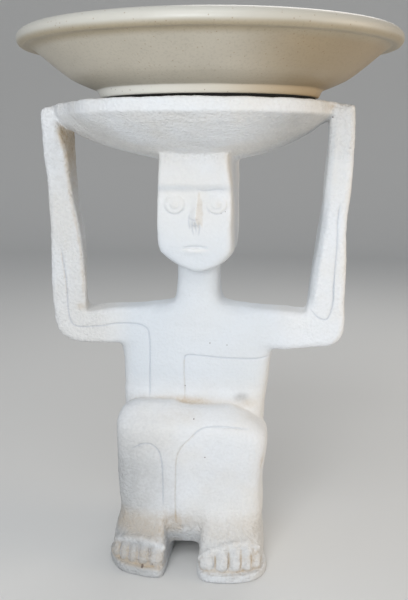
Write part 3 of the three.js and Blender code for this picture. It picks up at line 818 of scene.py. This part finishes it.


# %% [markdown]
# ## Where dirt and painted shade sit
# Tan dirt stays where nobody can wipe: between the toes, along the edge of the sole, in the crease
# above the knees and where the left hand meets the dish. Both insteps are stained all over.
# Part of the tan is painted shade: on the head's right side, in the corner under the dish on the left
# arm's inner side, and along the top edge of the sole, where the toe tips shade it. The right side of
# the nose is tan too.
# Blurred distances find a crease: they are below zero on the skin where there is more plaster around a
# point than open space.
# Two more masks shade the white with paint. Grey is painted shade: darker toward the floor, on the
# right arm's inner side and under the dish. It also holds a greyer paint on the left arm and leg, and
# one real smudge. Cool is a painted bluish shade on the middle of the body, under the brow, on the
# right arm's inner side and on the front of the dish's rim. It is left off the lower lip.

# %% Creases, dirt and line marks as attributes
# every place is in mm, and every mask is a share from 0 to about 1
CREASE_REACH, CREASE_DEPTH = 5.0, 1.1
# x, z, half the width, half the height, how strong, and in front of which y
STAINS = [(77, 116, 4.5, 10, 0.6, -62), (142, 495, 5, 4, 0.5, 10), (-131, 278, 6, 5, 0.4, 10),
          (-8, 50, 16, 8, 0.12, 10), (-10, 168, 30, 9, 0.2, 10), (25, 394.5, 3.5, 4, 0.2, -42),
          (-22, 393.5, 4, 4, 0.12, -42)]


def blurred(values, reach):
    half = max(1, round(reach / VOXEL))
    weights = np.hanning(2 * half + 3)[1:-1]
    for axis in range(3):
        total = np.zeros_like(values)
        for shift, weight in zip(range(-half, half + 1), weights / weights.sum()):
            total += np.float32(weight) * np.roll(values, shift, axis)
        values = total
    return values


def sampled(values, points):
    cells = [np.clip(np.rint((points[:, i] - axis[0]) / VOXEL).astype(int), 0, len(axis) - 1)
             for i, axis in enumerate(grid_axes)]
    return values[tuple(cells)]


def ramp(value, start, end):
    return np.clip((value - start) / (end - start), 0, 1)


def band(value, start, full, fading, end):
    """Rises from 0 to 1 between start and full, and falls between fading and end."""
    return ramp(value, start, full) * ramp(value, end, fading)


def close(value, middle, half):
    """1 at the middle, and less on both sides of it."""
    return np.exp(-((value - middle) / half) ** 2)


def blot(points, x, z, half_wide, half_high, strength=1.0, front=10):
    """An oval patch on the front, strongest in its middle and 0 outside it."""
    size = np.hypot((points[:, 0] - x) / half_wide, (points[:, 2] - z) / half_high)
    return strength * np.clip(1.3 - size, 0, 1) * (points[:, 1] < front)


place, facing = skin_points(figure.data)
x, y, z = place.T
to_right, to_front, up = facing[:, 0], -facing[:, 1], facing[:, 2]
on_left = x < BETWEEN_FEET
crease = np.clip(-sampled(blurred(np.clip(field, -8, 8), CREASE_REACH), place) / CREASE_DEPTH, 0, 1)
open_front = ramp(to_front + 0.4 * up, 0.1, 0.5)
instep = open_front * band(z, 30, 40, 52, 66) * np.where(on_left, 0.5, 0.25)
toe_area = open_front * band(z, 7, 10, 22, 30)
toe_area *= np.where(on_left, 0.35, 0.04 + 0.16 * ramp(x, 38, 62))
toe_crease = 0.3 * crease * ramp(z, 30, 22) * (y < -70)
# dirt and painted shade: a tan line along the top edge of the sole, where the toe tips shade it
slab_edge_dirt_and_shade = close(z, 10.5, 1.8) * (y < -70) * np.where(on_left, 0.2, 0.42)
lap_crease = close(y, -35, 7) * close(z, 173.5, 6)
lap_crease *= 0.22 + 0.55 * close(x, -20, 36) + 0.35 * ramp(x, 42, 60)
nose_side = 0.3 * (y < -43.5) * (np.abs(x - 6) < 9) * (to_right > 0.3) * band(z, 364, 370, 404, 410)
left_inside = (x < -115) * (x > -160)
# dirt and painted shade: tan on the left arm's inner side, strongest in the corner under the dish
hand_corner_dirt_and_shade = left_inside * ramp(to_right, 0.4, 0.9) * band(z, 285, 300, 470, 486)
hand_corner_dirt_and_shade *= 0.18 + 0.8 * ramp(z, 390, 465)
sandy_edge = left_inside * close(to_right, 0.45, 0.3) * (to_front > 0) * band(z, 285, 300, 465, 482)
# painted shade: warm tan on the head's right side, which gets less light
shaded_head_side = ramp(to_right, 0.6, 0.9) * (x > 34) * (x < 60) * ramp(z, 325, 335)

# the lines that are tan instead of blue: on the right leg, between the right toes, down the chest.
# Their tan is dirt; the blue of the other lines is painted shade in the grooves
tan_line = (((x > -30) & (x < 12) & (z < 150)) | ((z < 36) & ~on_left)
            | ((x > -20) & (x < -7) & (z > 170) & (z < 222)))
# how dark the lines are painted: shade in the grooves, under the eyes and in the mouth, and the darker
# scars
line_shades_and_scars = line_depth(x, z, facing[:, 1], darkness=True)
dirt_and_shade = sum(blot(place, *stain) for stain in STAINS)
for mask in (instep, toe_area, toe_crease, slab_edge_dirt_and_shade, lap_crease, nose_side, hand_corner_dirt_and_shade,
             0.4 * sandy_edge, 0.14 * shaded_head_side, line_shades_and_scars * tan_line):
    dirt_and_shade += mask
dirt_and_shade = np.clip(dirt_and_shade, 0, 1.2)
line_shades_and_scars = np.where(tan_line, 0.2 * line_shades_and_scars, line_shades_and_scars)

# painted shade on the right arm's inner side
right_inner_shade = (x > 110) * (x < 150) * ramp(-to_right, 0.05, 0.4) * band(z, 280, 295, 470, 480)
# grey: painted shade, and on the left arm also a greyer, sandier paint
grey_shade_and_smudge = 0.42 * ramp(-x, 70, 110) * band(z, 190, 220, 455, 488)                  # left arm
# painted shade, darker toward the floor, and on the left leg also a greyer, sandier paint
grey_shade_and_smudge += 0.25 * ramp(z, 215, 150) + 0.85 * ramp(-x, 5, 65) * ramp(z, 195, 110)  # legs
grey_shade_and_smudge += blot(place, 50, 180, 8, 5, 0.9)                                        # smudge above the lap
# painted shade on the feet, darker toward the floor
grey_shade_and_smudge += 0.3 * ramp(z, 60, 40) * np.where(on_left, 1, 0.7)                      # feet
grey_shade_and_smudge += 0.4 * right_inner_shade * ramp(z, 405, 375)
# painted shade on the underside of the dish, toward the right
grey_shade_and_smudge += 0.95 * ramp(x, 50, 105) * band(z, 440, 450, 485, 489) * (up < -0.15)   # under the dish
# painted highlight: less grey along the raised lip above the toes
ridge_height = np.where(on_left, np.interp(x, *zip(*LEFT_LIP)), np.interp(x, *zip(*RIGHT_LIP)))
grey_shade_and_smudge *= 1 - 0.45 * close(z, ridge_height, 3) * (y < -75)

# cool: painted bluish shade on the middle of the body, stronger on the left
middle_part = band(z, 170, 205, 340, 400) * ramp(np.abs(x), 110, 70)
# painted shadow under the brow step
brow_shadow = close(z, 411, 3.5) * (y < -38) * ramp(np.abs(x), 43, 40)
cool_shade = middle_part * (0.72 + 0.35 * ramp(-x, 0, 60)) + brow_shadow * (0.45 + 0.2 * ramp(-x, 0, 10))
cool_shade += right_inner_shade * (0.45 + 0.45 * ramp(z, 405, 375))
# cooler and darker on the front of the dish's rim
cool_shade += 0.35 * ramp(z, 484, 488) * (y < -100) * ramp(np.abs(x), 95, 30)        # rim of the dish
# painted highlight: no cool shade on the lower lip's ledge, which catches the light
cool_shade *= 1 - np.clip(blot(place, 0.7, 345.8, 13, 2.6, 1.5, -44), 0, 1)          # not on the lip

for name, values in (("dirt_and_shade", dirt_and_shade), ("line_shade_and_scar", np.clip(line_shades_and_scars, 0, 1)), ("rough", roughness_of(place)),
                     ("grey_shade_and_smudge", grey_shade_and_smudge), ("cool_shade", cool_shade)):
    attribute = figure.data.attributes.new(name, "FLOAT", "POINT")
    attribute.data.foreach_set("value", values.astype(np.float32))
print("dirty points:", int((dirt_and_shade > 0.2).sum()), "marked points:", int((line_shades_and_scars > 0.2).sum()))


# %% [markdown]
# ## Plaster
# White paint over plaster: cool and a little uneven, speckled like sand where it is rough, and on the
# dish with the strokes of a stiff brush that went round it. The attributes place dirt, lines and
# painted shade: a bluish and a grey shade on the white, blue shade in the lines, and tan shade on the
# head's side and in the left hand's corner.

# %% A kit that adds nodes
class NodeKit:
    """Adds nodes to one tree. Values are numbers, colours or sockets of other nodes."""

    def __init__(self, tree):
        self.tree = tree

    def add(self, kind, inputs=None, **settings):
        """A node with its settings made and its sockets filled or linked."""
        made = self.tree.nodes.new(kind)
        for key, value in settings.items():
            setattr(made, key, value)
        for key, value in (inputs or {}).items():
            if isinstance(value, bpy.types.NodeSocket):
                self.tree.links.new(value, made.inputs[key])
            else:
                made.inputs[key].default_value = value
        return made

    def maths(self, operation, *values):
        return self.add("ShaderNodeMath", dict(enumerate(values)), operation=operation).outputs[0]

    def times(self, first, second):
        return self.maths("MULTIPLY", first, second)

    def scaled(self, value, scale, shift):
        return self.maths("MULTIPLY_ADD", value, scale, shift)

    def vector(self, operation, *values, output=0):
        made = self.add("ShaderNodeVectorMath", dict(enumerate(values)), operation=operation)
        return made.outputs[output]

    def apart(self, vector):
        """The outputs X, Y and Z of a vector."""
        return self.add("ShaderNodeSeparateXYZ", {0: vector}).outputs

    def joined(self, x, y, z):
        return self.add("ShaderNodeCombineXYZ", {0: x, 1: y, 2: z}).outputs[0]

    def mixed(self, factor, first, second, way="MIX"):
        """Two colours mixed. A colour is a socket or three numbers."""
        first, second = (c if isinstance(c, bpy.types.NodeSocket) else (*c, 1) for c in (first, second))
        values = {0: factor, 6: first, 7: second}
        return self.add("ShaderNodeMix", values, data_type="RGBA", blend_type=way).outputs[2]

    def eased(self, value, low, high):
        """0 below low, 1 above high, and smooth between."""
        values = {0: value, 1: low, 2: high}
        return self.add("ShaderNodeMapRange", values, interpolation_type="SMOOTHSTEP").outputs[0]

    def fading(self, value, low, high):
        """1 below low, 0 above high, and smooth between."""
        return self.maths("SUBTRACT", 1, self.eased(value, low, high))

    def noise(self, vector, scale, detail):
        values = {"Vector": vector, "Scale": scale, "Detail": detail}
        return self.add("ShaderNodeTexNoise", values).outputs["Fac"]

    def attribute(self, name):
        return self.add("ShaderNodeAttribute", attribute_name=name).outputs["Fac"]

    def finish(self, colour, bump_height, strength, roughness):
        """Links colour and bump to the shader. Bump heights are in millimetres."""
        shader = self.tree.nodes["Principled BSDF"]
        bump = self.add("ShaderNodeBump", {"Height": bump_height, "Distance": MM, "Strength": strength})
        self.tree.links.new(bump.outputs[0], shader.inputs["Normal"])
        self.tree.links.new(colour, shader.inputs["Base Color"])
        shader.inputs["Roughness"].default_value = roughness
        return shader


def new_material(name):
    material = bpy.data.materials.new(name)
    material.use_nodes = True
    return material, NodeKit(material.node_tree)


# %% Plaster
WHITE, OFF_WHITE, COOL_SHADE = (0.82, 0.845, 0.875), (0.8, 0.8, 0.79), (0.67, 0.715, 0.76)
SHADY, SHADE_AND_SMUDGE_GREY, TAN = (0.61, 0.62, 0.63), (0.46, 0.47, 0.475), (0.52, 0.42, 0.3)
BROWN, LINE_SHADE_BLUE, SPECK_DARK = (0.25, 0.17, 0.1), (0.36, 0.39, 0.46), (0.12, 0.08, 0.07)
# small dark specks on the front: x, z, radius
SPECKS = [(1.6, 165.3, 0.8), (14.6, 125.7, 0.9), (15.0, 240.5, 0.8), (33.9, 238.7, 0.7),
          (-50.2, 10.5, 1.8), (-39.0, 14.1, 0.9), (143.3, 484.6, 0.9), (32.4, 386.4, 0.6),
          (28.0, 384.6, 0.5), (-12.8, 191.0, 0.8)]
DISH_LOW, DISH_BAND = (0.436, 0.444), (0.485, 0.489)      # m, the strokes show between these heights

plaster, kit = new_material("white plaster")
spot = kit.add("ShaderNodeTexCoord").outputs["Object"]
dirt_and_shade_here, line_shade_and_scar_here, rough_here, grey_shade_and_smudge_here, cool_shade_here = (
    kit.attribute(name) for name in ("dirt_and_shade", "line_shade_and_scar", "rough", "grey_shade_and_smudge", "cool_shade"))
cloud, blotch = kit.noise(spot, 13, 4), kit.noise(spot, 95, 4)
sand, grain = kit.noise(spot, 330, 3), kit.noise(spot, 520, 2)

colour = kit.mixed(kit.eased(cloud, 0.4, 0.66), WHITE, OFF_WHITE)
# painted cool shade
colour = kit.mixed(cool_shade_here, colour, COOL_SHADE)
sandy = kit.scaled(sand, 0.7, kit.scaled(blotch, 0.4, 0.25))
# painted grey shade, and the real smudge, made grainy like sand
colour = kit.mixed(kit.times(grey_shade_and_smudge_here, sandy), colour, SHADE_AND_SMUDGE_GREY)
speckle = kit.times(kit.eased(sand, 0.42, 0.72), kit.scaled(rough_here, 0.3, 0.1))
colour = kit.mixed(speckle, colour, SHADY)

# tan and brown: dirt, and painted shade on the head's right side, in the left hand's corner and along
# the sole's edge
uneven = kit.times(dirt_and_shade_here, kit.scaled(blotch, 0.9, 0.55))
grainy = kit.times(uneven, kit.scaled(sand, 0.8, 0.6))
colour = kit.mixed(kit.eased(grainy, -0.15, 1.25), colour, TAN)
colour = kit.mixed(kit.times(kit.eased(grainy, 0.85, 1.5), 0.7), colour, BROWN)
# painted blue shade in the incised lines, the eyes' lower arcs and the mouth, and darker scars
colour = kit.mixed(line_shade_and_scar_here, colour, LINE_SHADE_BLUE)

flat_spot = kit.vector("MULTIPLY", spot, (1, 0, 1))
for x, z, radius in SPECKS:
    away = kit.vector("DISTANCE", flat_spot, (x * MM, 0, z * MM), output="Value")
    speck = kit.times(kit.fading(away, radius * 0.5 * MM, radius * 1.1 * MM), 0.75)
    colour = kit.mixed(speck, colour, SPECK_DARK)

# strokes: noise stretched round the dish, so it changes fast along the radius and slowly round it
here = kit.apart(spot)
round_it = kit.maths("ARCTAN2", here["Y"], here["X"])
radius = kit.vector("LENGTH", kit.vector("MULTIPLY", spot, (1, 1, 0)), output="Value")
wander = kit.scaled(kit.noise(spot, 30, 1), 0.03, radius)
brush_spot = kit.joined(kit.times(wander, 260), kit.times(round_it, 3.5), kit.times(here["Z"], 40))
brush = kit.noise(brush_spot, 1.0, 3)
on_dish = kit.times(kit.eased(here["Z"], *DISH_LOW), kit.fading(here["Z"], *DISH_BAND))
colour = kit.mixed(kit.times(kit.eased(brush, 0.45, 0.75), kit.times(on_dish, 0.14)), colour, SHADY)

fine = kit.times(grain, kit.scaled(rough_here, 0.1, 0.04))
coarse = kit.times(sand, kit.scaled(rough_here, 1.8, 0.7))
strokes = kit.times(brush, kit.times(on_dish, 0.9))
shader = kit.finish(colour, kit.maths("ADD", kit.maths("ADD", fine, coarse), strokes), 1.0, 0.82)
shader.inputs["Specular IOR Level"].default_value = 0.25

figure.data.materials.clear()
figure.data.materials.append(plaster)
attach(figure, "root")
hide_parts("figure")
print("plaster has", len(kit.tree.nodes), "nodes")


# %% [markdown]
# ## Bowl
# The bowl was thrown on a wheel, so its shape follows one rule: an outline, drawn here in radius and
# height, that turns about an upright axis. Geometry Nodes turn it, add the shallow rings that a
# potter's fingers leave, and weld the seam.

# %% Outline of the bowl, in mm above its bottom
BOWL_CENTRE_X = 11.5
# underside and foot ring, outside of the wall, rolled rim, inside; with a corner between two parts
BOWL_PARTS = [
    [(0, 4), (111.5, 4)], [(112, 3.6), (112.4, 0.6), (113, 0)], [(116, 0), (117, 0.5), (120.2, 6.8)],
    [(121, 7.8), (122.8, 8.6), (134, 13), (148.5, 19.8), (166.5, 33), (180.5, 44.5), (189, 51)],
    [(191.5, 52), (196, 51), (200, 51.6), (203, 55), (204, 59), (202.6, 63), (198.8, 66.3),
     (193, 68), (188.5, 66.8), (184.5, 62)],
    [(177.5, 53.5), (160.5, 40.5), (141.5, 28), (111.5, 15.8), (92, 12), (78, 11)], [(40, 11), (0, 11)]]

outline = np.vstack([curve_through(part, 1.5) for part in BOWL_PARTS])
bowl_low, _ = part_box("bowl")
bowl_profile = bpy.data.meshes.new("bowl outline")
links = [(i, i + 1) for i in range(len(outline) - 1)]
bowl_profile.from_pydata([(r * MM, 0, h * MM) for r, h in outline], links, [])
bowl = link(bpy.data.objects.new("bowl_skin", bowl_profile))
print("outline of", len(outline), "points, bowl stands at", round(bowl_low[2] / MM, 1), "mm")


# %% The tree that turns an outline
def wheel_tree():
    tree = bpy.data.node_groups.new("turned on a wheel", "GeometryNodeTree")
    tree.interface.new_socket("Geometry", in_out="OUTPUT", socket_type="NodeSocketGeometry")
    for name, kind in (("Outline", "Geometry"), ("Steps Round", "Int"), ("Steps Along", "Int"),
                       ("Ring Depth", "Float"), ("Ring Spacing", "Float"), ("Middle", "Vector"),
                       ("Material", "Material")):
        tree.interface.new_socket(name, in_out="INPUT", socket_type="NodeSocket" + kind)
    kit = NodeKit(tree)
    given = kit.add("NodeGroupInput").outputs
    curve = kit.add("GeometryNodeMeshToCurve", {0: given["Outline"]}).outputs[0]
    sheet = kit.add("GeometryNodeMeshGrid", {
        "Size X": 1.0, "Size Y": 1.0,
        "Vertices X": given["Steps Along"], "Vertices Y": given["Steps Round"]})
    at = kit.apart(kit.add("GeometryNodeInputPosition").outputs[0])
    along, turn = kit.maths("ADD", at["X"], 0.5), kit.times(at["Y"], -2 * math.pi)
    values = {"Curves": curve, "Factor": along}
    sample = kit.add("GeometryNodeSampleCurve", values, mode="FACTOR").outputs
    profile, heading = kit.apart(sample["Position"]), kit.apart(sample["Tangent"])
    # the rings push the outline out and in, square to its own direction, and fade at the axis
    walked = kit.times(along, kit.add("GeometryNodeCurveLength", {0: curve}).outputs[0])
    wave = kit.maths("SINE", kit.maths("DIVIDE", kit.times(walked, 2 * math.pi), given["Ring Spacing"]))
    off_axis = kit.maths("MINIMUM", kit.times(profile["X"], 20), 1)
    ripple = kit.times(kit.times(wave, given["Ring Depth"]), off_axis)
    radius = kit.scaled(ripple, heading["Z"], profile["X"])
    height = kit.scaled(ripple, kit.times(heading["X"], -1), profile["Z"])
    across, back = (kit.times(radius, kit.maths(way, turn)) for way in ("COSINE", "SINE"))
    placed = kit.vector("ADD", kit.joined(across, back, height), given["Middle"])
    made = sheet
    for kind, inputs in (("SetPosition", {"Position": placed}),
                         ("MergeByDistance", {"Distance": 0.02 * MM}), ("SetShadeSmooth", {}),
                         ("RealizeInstances", {}), ("SetMaterial", {"Material": given["Material"]})):
        made = kit.add("GeometryNode" + kind, {"Geometry": made.outputs[0], **inputs})
    kit.add("NodeGroupOutput", {0: made.outputs[0]})
    return tree


def with_nodes(obj, tree, values):
    """Puts a node tree on an object and sets its named inputs."""
    modifier = obj.modifiers.new(tree.name, "NODES")
    modifier.node_group = tree
    for item in tree.interface.items_tree:
        if item.in_out == "INPUT" and item.name in values:
            modifier[item.identifier] = values[item.name]


# %% [markdown]
# The glaze is a satin oatmeal colour, full of fine brown speckles. On the roll of the rim it is paler,
# partly in the glaze and partly as painted light on the roll's upper side.
# The foot ring is painted pale on the left, as lit, and brown on the right, as shade. Under the roll a
# darker brown is painted shade, and the right side is painted in warm brown shade and reflection.

# %% Stoneware glaze
# RIM: a paler glaze on the roll, and painted light on its upper side
OATMEAL, RIM, FLECK = (0.525, 0.482, 0.398), (0.555, 0.54, 0.485), (0.3, 0.2, 0.11)
# painted light on the foot ring: lit on the left, in shade on the right
FOOT_LIT, FOOT_SHADED = (0.96, 0.95, 0.89), (0.74, 0.68, 0.57)      # the foot ring, left and right
# painted shade: the first browns the right side as warm shade and reflection, the second darkens the
# wall under the roll
WARM_SHADE, UNDER_ROLL_SHADE = (0.7, 0.6, 0.46), (0.77, 0.71, 0.6)      # these multiply the colour of the glaze
FOOT_HEIGHT, ROLL_HEIGHT = 8.6, 51.0


def darker(colour, share):
    return tuple(part * share for part in colour)


stoneware, kit = new_material("oatmeal glaze")
texture_places = kit.add("ShaderNodeTexCoord").outputs
spot = texture_places["Object"]
east, level = kit.apart(spot)["X"], kit.apart(spot)["Z"]
turned_east = kit.apart(texture_places["Normal"])["X"]
foot_edge, rim_edge = bowl_low[2] + FOOT_HEIGHT * MM, bowl_low[2] + ROLL_HEIGHT * MM
wavy = kit.scaled(kit.noise(spot, 22, 2), 0.002, level)
on_foot = kit.fading(wavy, foot_edge, foot_edge + 1.5 * MM)
on_rim = kit.eased(wavy, rim_edge + 2 * MM, rim_edge + 8 * MM)

colour = kit.mixed(kit.eased(kit.noise(spot, 16, 3), 0.35, 0.7), OATMEAL, darker(OATMEAL, 0.93))
mottle = kit.times(kit.eased(kit.noise(spot, 420, 2), 0.5, 0.68), 0.35)
colour = kit.mixed(mottle, colour, darker(OATMEAL, 0.72))
# painted light: the foot ring lit on the left and shaded on the right
foot_colour = kit.mixed(kit.eased(east, -0.1, 0.1), FOOT_LIT, FOOT_SHADED)
# the roll of the rim: paler glaze and painted light
colour = kit.mixed(on_rim, kit.mixed(on_foot, colour, foot_colour), RIM)

dots = kit.add("ShaderNodeTexVoronoi", {"Vector": spot, "Scale": 215.0}).outputs
chosen = kit.eased(kit.apart(dots["Color"])["X"], 0.5, 0.6)
dot = kit.times(kit.fading(dots["Distance"], 0.08, 0.2), chosen)
colour = kit.mixed(kit.times(dot, 0.55), colour, FLECK)

# painted warm shade and reflection on the right side of the bowl
warm_shade_right = kit.times(kit.eased(east, 0.02, 0.125), kit.eased(turned_east, 0.0, 0.3))
warm_shade_right = kit.times(warm_shade_right, kit.scaled(on_rim, -0.7, 1))
# painted shade under the roll of the rim
under_roll_shade = kit.times(kit.eased(level, rim_edge - 6 * MM, rim_edge), kit.maths("SUBTRACT", 1, on_rim))
shade_tint = kit.mixed(under_roll_shade, kit.mixed(warm_shade_right, (1, 1, 1), WARM_SHADE), UNDER_ROLL_SHADE)
colour = kit.mixed(1.0, colour, shade_tint, "MULTIPLY")
kit.finish(colour, kit.noise(spot, 150, 3), 0.06, 0.38)
print("glaze has", len(kit.tree.nodes), "nodes")


# %% Turn the bowl
STEPS_ROUND, STEPS_ALONG = ((224, 300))
RING_DEPTH, RING_SPACING = 0.03, 7.0

with_nodes(bowl, wheel_tree(), {
    "Steps Round": STEPS_ROUND, "Steps Along": STEPS_ALONG, "Ring Depth": RING_DEPTH * MM,
    "Ring Spacing": RING_SPACING * MM, "Middle": (BOWL_CENTRE_X * MM, 0, bowl_low[2]),
    "Material": stoneware})
settled(bowl)
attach(bowl, "root")
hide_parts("bowl")
print("bowl:", len(bowl.data.vertices), "points", len(bowl.data.polygons), "faces")


# %% [markdown]
# ## Pad
# The bowl stands on a thin black pad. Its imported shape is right, so it only gets a matt material.

# %% Pad
pad_dark = plain_material("dark pad", (0.006, 0.005, 0.005), 0.9)
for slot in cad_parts["bowl_pad"].material_slots:
    slot.material = pad_dark
